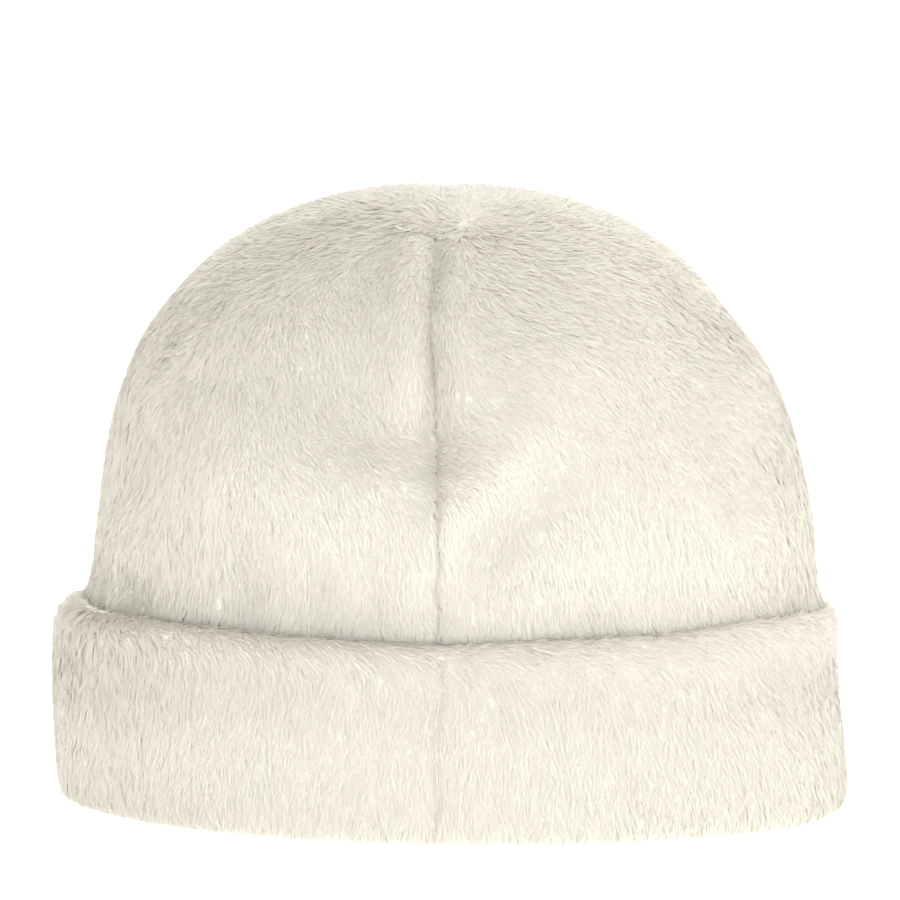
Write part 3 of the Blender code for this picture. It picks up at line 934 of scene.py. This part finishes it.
def cuff_seam_part(cuff_tree):
    """The cuff's join as edges from the lip to the base."""
    vertices = [surface_place(cuff_tree, row.azimuth, row.height) for row in CUFF_SEAM]
    return vertices, [(index, index + 1) for index in range(len(vertices) - 1)]


def new_tree(name, sockets):
    """A Geometry Nodes tree that takes and gives a geometry, and its named inputs."""
    tree = bpy.data.node_groups.new(name, "GeometryNodeTree")
    for socket, kind in (("Geometry", "Geometry"), *sockets):
        tree.interface.new_socket(socket, in_out="INPUT", socket_type="NodeSocket" + kind)
    tree.interface.new_socket("Geometry", in_out="OUTPUT", socket_type="NodeSocketGeometry")
    return tree, tree.nodes.new("NodeGroupInput").outputs


def end_tree(tree, geometry, material):
    """Ends a tree with its instances made real and its material set."""
    real = add_node(tree, "GeometryNodeRealizeInstances", {"Geometry": geometry})
    painted = add_node(tree, "GeometryNodeSetMaterial", {"Geometry": real.outputs[0], "Material": material})
    tree.links.new(painted.outputs[0], tree.nodes.new("NodeGroupOutput").inputs[0])


def shaped_by(tree, draft, name, values):
    """The plain mesh that a tree makes of a draft, which is then removed."""
    identifiers = {item.name: item.identifier for item in tree.interface.items_tree if item.in_out == "INPUT"}
    modifier = draft.modifiers.new(tree.name, "NODES")
    modifier.node_group = tree
    for key, value in values.items():
        modifier[identifiers[key]] = value
    mesh = evaluated_mesh(draft, name)
    draft.modifiers.remove(modifier)
    bpy.data.objects.remove(draft)
    return mesh


def make_seam_tree():
    """Geometry Nodes that lay a round seam allowance along bare edges."""
    tree, given = new_tree("sew_seam", (("Radius", "Float"), ("Material", "Material")))
    merged = add_node(tree, "GeometryNodeMergeByDistance", {
        "Geometry": given["Geometry"], "Distance": SEAM_MERGE})
    path = add_node(tree, "GeometryNodeMeshToCurve", {"Mesh": merged.outputs[0]})
    ring = add_node(tree, "GeometryNodeCurvePrimitiveCircle", {
        "Resolution": SEAM_SIDES, "Radius": given["Radius"]})
    tube = add_node(tree, "GeometryNodeCurveToMesh", {
        "Curve": path.outputs[0], "Profile Curve": ring.outputs[0], "Fill Caps": True})
    end_tree(tree, tube.outputs[0], given["Material"])
    return tree


def sew_seam(name, part, radius, sink, tree, material):
    """A seam allowance along edges, sunk under the cloth's face, or proud of it by a negative sink."""
    vertices, edges = part
    lowered = []
    for place in vertices:
        way = crown_form.outward(place) if name.startswith("crown") else compass(azimuth_of(place))
        lowered.append(place - way * sink)
    draft = line_object(name + "_draft", lowered, edges)
    seam = add_object(name, shaped_by(tree, draft, name, {"Radius": radius, "Material": material}))
    seam.data.shade_smooth()
    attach(seam, "root")


# Pile

def make_fibre():
    """One bundle of fibres as a bent kite: a steep lower half and an upper half that lies down."""
    mesh = bpy.data.meshes.new("fibre")
    left, right = [(side, FIBRE_KNEE, FIBRE_KNEE_RISE) for side in (-0.5, 0.5)]
    mesh.from_pydata([(0, 0, 0), left, right, (0, 1, FIBRE_TIP_RISE)], [], [(0, 2, 1), (1, 2, 3)])
    along = mesh.attributes.new("along", "FLOAT", "POINT")
    along.data.foreach_set("value", (0.0, 0.5, 0.5, 1.0))
    mesh.shade_smooth()
    return add_object("fibre", mesh)


def make_pile_tree():
    """Geometry Nodes that grow a pile: fibres on a bed, gathered in locks and parted at the seams."""
    tree, given = new_tree("grow_pile", (
        ("Fibre", "Object"), ("Parted seams", "Object"), ("Hidden seams", "Object"),
        ("Fibre length", "Float"), ("Fibre width", "Float"), ("Fibres at back", "Float"),
        ("Lock spacing", "Float"), ("Lock pull", "Float"), ("Lying angle", "Float"),
        ("Seed", "Int"), ("Material", "Material")))

    def node(kind, inputs=None, **settings):
        return add_node(tree, kind, inputs, **settings)

    def reckon(operation, result, *others):
        """Arithmetic on numbers, or on vectors where the first value is one, from left to right."""
        kind = "ShaderNodeVectorMath" if getattr(result, "type", None) == "VECTOR" else "ShaderNodeMath"
        second = "Scale" if operation == "SCALE" else 1
        for other in others or (None,):
            inputs = {0: result} if other is None else {0: result, second: other}
            made = node(kind, inputs, operation=operation)
            result = made.outputs["Value" if operation == "DOT_PRODUCT" else 0]
        return result

    def of_bed(name, kind="FLOAT"):
        """What the bed keeps under a name."""
        return node("GeometryNodeInputNamedAttribute", {"Name": name}, data_type=kind).outputs[0]

    def spread(low, high, seed, identity=None):
        """A random number for each fibre, or for each lock where it is given the lock's."""
        inputs = {2: low, 3: high, "Seed": reckon("ADD", given["Seed"], seed)}
        if identity is not None:
            inputs["ID"] = identity
        return node("FunctionNodeRandomValue", inputs, data_type="FLOAT").outputs[1]

    def wave(size, seed):
        """Waves from about -1 to 1 whose patches are a given size."""
        shifted = reckon("ADD", place, tuple(seed * share for share in WAVE_SHIFT))
        made = node("ShaderNodeTexNoise", {"Vector": shifted, "Scale": 1.0 / size, "Detail": 1.0})
        return reckon("MULTIPLY", reckon("SUBTRACT", made.outputs[0], WAVE_MIDDLE), WAVE_GAIN)

    def near_seam(seams, reach):
        """The nearest place on seams, and a share that is 1 on it and eases to 0 at a reach."""
        lines = node("GeometryNodeObjectInfo", {"Object": seams}).outputs["Geometry"]
        nearest = node("GeometryNodeProximity", {"Target": lines}, target_element="EDGES")
        return nearest, node("ShaderNodeMapRange", {
            0: nearest.outputs["Distance"], 1: 0.0, 2: reach, 3: 1.0, 4: 0.0},
            interpolation_type="SMOOTHSTEP").outputs[0]

    place = node("GeometryNodeInputPosition").outputs[0]
    growth = of_bed("growth")
    mess = of_bed("mess")
    thick = of_bed("thick")
    roots = node("GeometryNodeDistributePointsOnFaces", {
        "Mesh": given["Geometry"], "Seed": given["Seed"],
        "Density": reckon("MULTIPLY", thick, growth)})
    normal = roots.outputs["Normal"]
    locks = node("GeometryNodeDistributePointsOnFaces", {
        "Mesh": given["Geometry"], "Seed": given["Seed"], "Distance Min": given["Lock spacing"],
        "Density Max": MOST_LOCKS}, distribute_method="POISSON").outputs[0]
    lock = node("GeometryNodeSampleNearest", {"Geometry": locks}, domain="POINT").outputs[0]
    lock_place = node("GeometryNodeSampleIndex", {"Geometry": locks, "Value": place, "Index": lock},
                      data_type="FLOAT_VECTOR", domain="POINT").outputs[0]

    # Parting at the sewn seams, and muddle along the hidden ones
    seam, by_seam = near_seam(given["Parted seams"], PARTING_REACH)
    by_hidden = near_seam(given["Hidden seams"], MUDDLE_REACH)[1]
    away = reckon("NORMALIZE", reckon("SUBTRACT", place, seam.outputs["Position"]))
    parting = reckon("SCALE", away, reckon("MULTIPLY", by_seam, PARTING_LEAN))
    muddled = reckon("MAXIMUM", mess, reckon("MULTIPLY", by_hidden, MUDDLE))

    # Turn from the bed's brushing
    half_turn = reckon("ADD", reckon("MULTIPLY", muddled, MESSY_TURN), CALM_TURN)
    turn = reckon(
        "ADD",
        reckon("MULTIPLY", wave(BROAD_WAVE, 1), half_turn),
        reckon("MULTIPLY", wave(SMALL_WAVE, 2), half_turn),
        reckon("MULTIPLY", spread(-1.0, 1.0, 11, lock), half_turn),
        spread(-FIBRE_TURN, FIBRE_TURN, 12))
    turned = node("ShaderNodeVectorRotate", {
        "Vector": of_bed("comb", "FLOAT_VECTOR"), "Axis": normal, "Angle": turn},
        rotation_type="AXIS_ANGLE").outputs[0]
    tangent = reckon("NORMALIZE", reckon("ADD", turned, parting))

    # Length, and lift off the cloth
    length = reckon(
        "MULTIPLY",
        given["Fibre length"],
        spread(*FIBRE_LENGTHS, 13),
        spread(*LOCK_LENGTHS, 14, lock),
        reckon("SUBTRACT", 1.0, reckon("MULTIPLY", by_seam, SHORTER_AT_SEAM)),
        reckon("ADD", reckon("MULTIPLY", growth, 1.0 - SHORTEST_GROWN), SHORTEST_GROWN))
    lift = reckon(
        "ADD",
        given["Lying angle"],
        spread(-FIBRE_LIFT, FIBRE_LIFT, 15),
        spread(-LOCK_LIFT, LOCK_LIFT, 16, lock),
        reckon("MULTIPLY", reckon("POWER", spread(0.0, 1.0, 22, lock), TUFT_RARITY), TUFT_LIFT),
        reckon("MULTIPLY", mess, MESS_LIFT),
        reckon("MULTIPLY", of_bed("flare"), FLARE),
        reckon("MULTIPLY", reckon("POWER", spread(0.0, 1.0, 21), STRAY_RARITY), STRAY_LIFT))
    lift = reckon("SUBTRACT", lift, FLAT_SLOPE)

    # Direction, drawn in to the lock's middle along the cloth
    pulled = reckon("SUBTRACT", lock_place, place)
    pulled = reckon("SCALE", pulled, reckon("DIVIDE", given["Lock pull"], length))
    way = reckon("ADD", tangent, pulled)
    way = reckon("SUBTRACT", way, reckon("SCALE", normal, reckon("DOT_PRODUCT", way, normal)))
    way = reckon("ADD", reckon("NORMALIZE", way), reckon("SCALE", normal, lift))
    way = reckon("NORMALIZE", way)
    aligned = node("FunctionNodeAxesToRotation", {0: way, 1: normal}, primary_axis="Y", secondary_axis="Z")
    roll = node("FunctionNodeAxisAngleToRotation", {0: (0, 1, 0), 1: spread(-FIBRE_ROLL, FIBRE_ROLL, 17)})
    facing = node("FunctionNodeRotateRotation", {0: aligned.outputs[0], 1: roll.outputs[0]},
                  rotation_space="LOCAL")

    # Width, which makes up for the thinner pile at the front
    widened = reckon("SQRT", reckon("DIVIDE", given["Fibres at back"], thick))
    width = reckon("MULTIPLY", given["Fibre width"], spread(*FIBRE_WIDTHS, 18), widened)
    size = node("ShaderNodeCombineXYZ", {0: width, 1: length, 2: length})

    rooted = node("FunctionNodeCompare", {0: seam.outputs["Distance"], 1: BARE_AT_SEAM},
                  data_type="FLOAT", operation="GREATER_THAN")
    fibre = node("GeometryNodeObjectInfo", {"Object": given["Fibre"]}).outputs["Geometry"]
    grown = node("GeometryNodeInstanceOnPoints", {
        "Points": roots.outputs[0], "Selection": rooted.outputs[0], "Instance": fibre,
        "Rotation": facing.outputs[0], "Scale": size.outputs[0]})
    # Tone: random tone of fibres and locks, less the painted shade of open pile and of pile parted at a seam
    tone = reckon(
        "SUBTRACT",
        spread(*FIBRE_TONES, 19),
        spread(*LOCK_TONES, 20, lock),
        of_bed("open"),
        reckon("MULTIPLY", reckon("POWER", by_seam, 2.0), OPEN_AT_SEAM))
    toned = node("GeometryNodeStoreNamedAttribute", {
        "Geometry": grown.outputs[0], "Name": "tone", "Value": tone}, data_type="FLOAT", domain="INSTANCE")
    grounded = node("GeometryNodeStoreNamedAttribute", {
        "Geometry": toned.outputs[0], "Name": "ground_normal", "Value": normal},
        data_type="FLOAT_VECTOR", domain="INSTANCE")
    end_tree(tree, grounded.outputs[0], given["Material"])
    return tree


def soften_shading(mesh):
    """Turns each fibre's shading most of the way to the cloth's, as light spreads inside real pile."""
    count = len(mesh.vertices)
    ground = np.empty(count * 3, np.float32)
    mesh.attributes["ground_normal"].data.foreach_get("vector", ground)
    own = np.empty(count * 3, np.float32)
    mesh.vertex_normals.foreach_get("vector", own)
    ground = ground.reshape(-1, 3)
    own = own.reshape(-1, 3)
    facing = np.sign((own * ground).sum(axis=1, keepdims=True))
    facing[facing == 0] = 1
    mixed = ground * SOFTNESS + own * facing * (1 - SOFTNESS)
    mixed /= np.linalg.norm(mixed, axis=1, keepdims=True)
    mesh.normals_split_custom_set_from_vertices(mixed)


def grow_pile(pile, bed, tree, values):
    """Grows one piece of pile on its bed and leaves it as a plain mesh."""
    mesh = shaped_by(tree, bed, pile.name, values)
    places = np.empty(len(mesh.vertices) * 3, np.float32)
    mesh.vertices.foreach_get("co", places)
    places[2::3] = np.maximum(places[2::3], FLOOR_CLEARANCE)
    mesh.vertices.foreach_set("co", places)
    mesh.update()
    soften_shading(mesh)
    for name in ("ground_normal", "comb", *BED_NUMBERS):
        if name in mesh.attributes:
            mesh.attributes.remove(mesh.attributes[name])
    grown = add_object(pile.name, mesh)
    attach(grown, "root")


def make_hat():
    """Every cloth wall and every piece of pile."""
    ground = plush_ground_material()
    backing = knit_backing_material()
    walls = {name: make_wall(name, ground, backing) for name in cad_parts}
    crown = {name: wall for name, wall in walls.items() if name != "cuff"}
    even_hidden_seams(crown)
    press_creases(crown)
    crown_tree = surface_of(crown)
    cuff_tree = surface_of({"cuff": walls["cuff"]})
    whorl = surface_place(crown_tree, WHORL_AZIMUTH, WHORL_HEIGHT)
    crown_strokes = [(row, surface_place(crown_tree, row.azimuth, row.height)) for row in CROWN_STROKES]
    cuff_strokes = [(row, surface_place(cuff_tree, row.azimuth, row.height)) for row in CUFF_STROKES]
    meetings = seam_meetings(crown)
    parted_sides = {name: panel_sides(wall, meetings[name], False) for name, wall in crown.items()}
    hidden_sides = {name: panel_sides(wall, meetings[name], True) for name, wall in crown.items()}
    cuff_join = cuff_seam_part(cuff_tree)
    seams = tree_of([meeting.place for met in meetings.values() for meeting in met.values()])
    # The ground's painted shade near the seams and the whorl
    for wall in walls.values():
        mark_ground_shade(wall, seams, whorl)
    parted = joined_lines("parted_seams", [*parted_sides.values(), cuff_join])
    hidden = joined_lines("hidden_seams", list(hidden_sides.values()))
    seam_tree = make_seam_tree()
    sewn_and_shade = seam_edges_and_shade_material()
    # The allowances take the ground's darkest painted shade, as they have no covered share, and the folds the
    # seam edges' partly painted shade
    for name, side in (("back", "crown_back_left"), ("front", "crown_front_left")):
        sew_seam("crown_" + name + "_seam", parted_sides[side], SEAM_RADIUS, SEAM_SINK, seam_tree, ground)
        sew_seam("crown_" + name + "_fold", parted_sides[side], FOLD_RADIUS, FOLD_SINK, seam_tree, sewn_and_shade)
    for name, side in (("left", "crown_front_left"), ("right", "crown_back_right")):
        sew_seam("crown_" + name + "_seam", hidden_sides[side], SEAM_RADIUS, SEAM_SINK, seam_tree, ground)
    sew_seam("cuff_fold", cuff_join, FOLD_RADIUS, CUFF_FOLD_SINK, seam_tree, sewn_and_shade)
    fibre = make_fibre()
    tree = make_pile_tree()
    values = {
        "Fibre": fibre,
        "Parted seams": parted,
        "Hidden seams": hidden,
        "Fibre length": FIBRE_LENGTH,
        "Fibre width": FIBRE_WIDTH,
        "Fibres at back": FIBRES_AT_BACK,
        "Lock spacing": LOCK_SPACING,
        "Lock pull": LOCK_PULL,
        "Lying angle": LYING_ANGLE,
        "Material": plush_pile_material(),
    }
    for number, pile in enumerate(PILES):
        if pile.wall == "cuff":
            bed = make_bed(walls["cuff"], pile, None, cuff_strokes, {})
        else:
            bed = make_bed(walls[pile.wall], pile, whorl, crown_strokes, meetings[pile.wall])
        grow_pile(pile, bed, tree, {**values, "Seed": number * SEED_STEP})
    for helper in (parted, hidden, fibre):
        bpy.data.objects.remove(helper)


# Studio

def make_floor():
    """A wide pale floor, faintly lit from below as a light table is, so that it reads white."""
    material, _, shader = new_material("pale_floor", roughness=0.9, specular=0.1)
    shader.inputs["Base Color"].default_value = linear(FLOOR_WHITE)
    shader.inputs["Emission Color"].default_value = linear(LIGHT_WHITE)
    shader.inputs["Emission Strength"].default_value = FLOOR_GLOW
    mesh = bpy.data.meshes.new("floor")
    corners = [(x * FLOOR_HALF, y * FLOOR_HALF, 0) for x, y in ((-1, -1), (1, -1), (1, 1), (-1, 1))]
    mesh.from_pydata(corners, [], [(0, 1, 2, 3)])
    mesh.materials.append(material)
    add_object("floor", mesh)


def make_lights():
    """A white surround, brighter overhead and dimmer on the left, and four soft lamps."""
    world = bpy.data.worlds.new("studio")
    world.use_nodes = True
    tree = world.node_tree
    place = add_node(tree, "ShaderNodeTexCoord")
    parts = add_node(tree, "ShaderNodeSeparateXYZ", {0: place.outputs["Generated"]}).outputs
    height, side = [
        add_node(tree, "ShaderNodeMapRange", {0: along, 1: low, 2: 1.0, 3: at_low, 4: at_high}).outputs[0]
        for along, low, at_low, at_high in (
            (parts[2], 0.0, AT_HORIZON, OVERHEAD), (parts[0], -1.0, ON_THE_LEFT, ON_THE_RIGHT))]
    strength = add_node(tree, "ShaderNodeMath", {0: height, 1: side}, operation="MULTIPLY")
    background = tree.nodes["Background"]
    background.inputs["Color"].default_value = linear(LIGHT_WHITE)
    tree.links.new(strength.outputs[0], background.inputs["Strength"])
    bpy.context.scene.world = world
    for row in LAMPS:
        light = bpy.data.lights.new(row.name, "AREA")
        light.energy = row.watts
        light.size = row.size
        lamp = bpy.data.objects.new(row.name, light)
        lamp.location = row.place
        lamp.rotation_mode = "QUATERNION"
        lamp.rotation_quaternion = (Vector(row.place) - LAMPS_AIM).to_track_quat("Z", "Y")
        bpy.context.scene.collection.objects.link(lamp)


def make_camera():
    """The photograph's camera: nearly level, and turned so little that the hat leans to the right."""
    data = bpy.data.cameras.new("camera")
    data.lens = CAMERA_LENS
    data.sensor_width = CAMERA_SENSOR
    camera = bpy.data.objects.new("camera", data)
    camera.location = CAMERA_EYE
    camera.rotation_mode = "QUATERNION"
    facing = (CAMERA_AIM - CAMERA_EYE).to_track_quat("-Z", "Y")
    camera.rotation_quaternion = facing @ Quaternion((0.0, 0.0, 1.0), CAMERA_ROLL)
    bpy.context.scene.collection.objects.link(camera)
    bpy.context.scene.camera = camera


make_hat()
make_floor()
make_lights()
make_camera()
bpy.context.scene.view_settings.view_transform = "Standard"
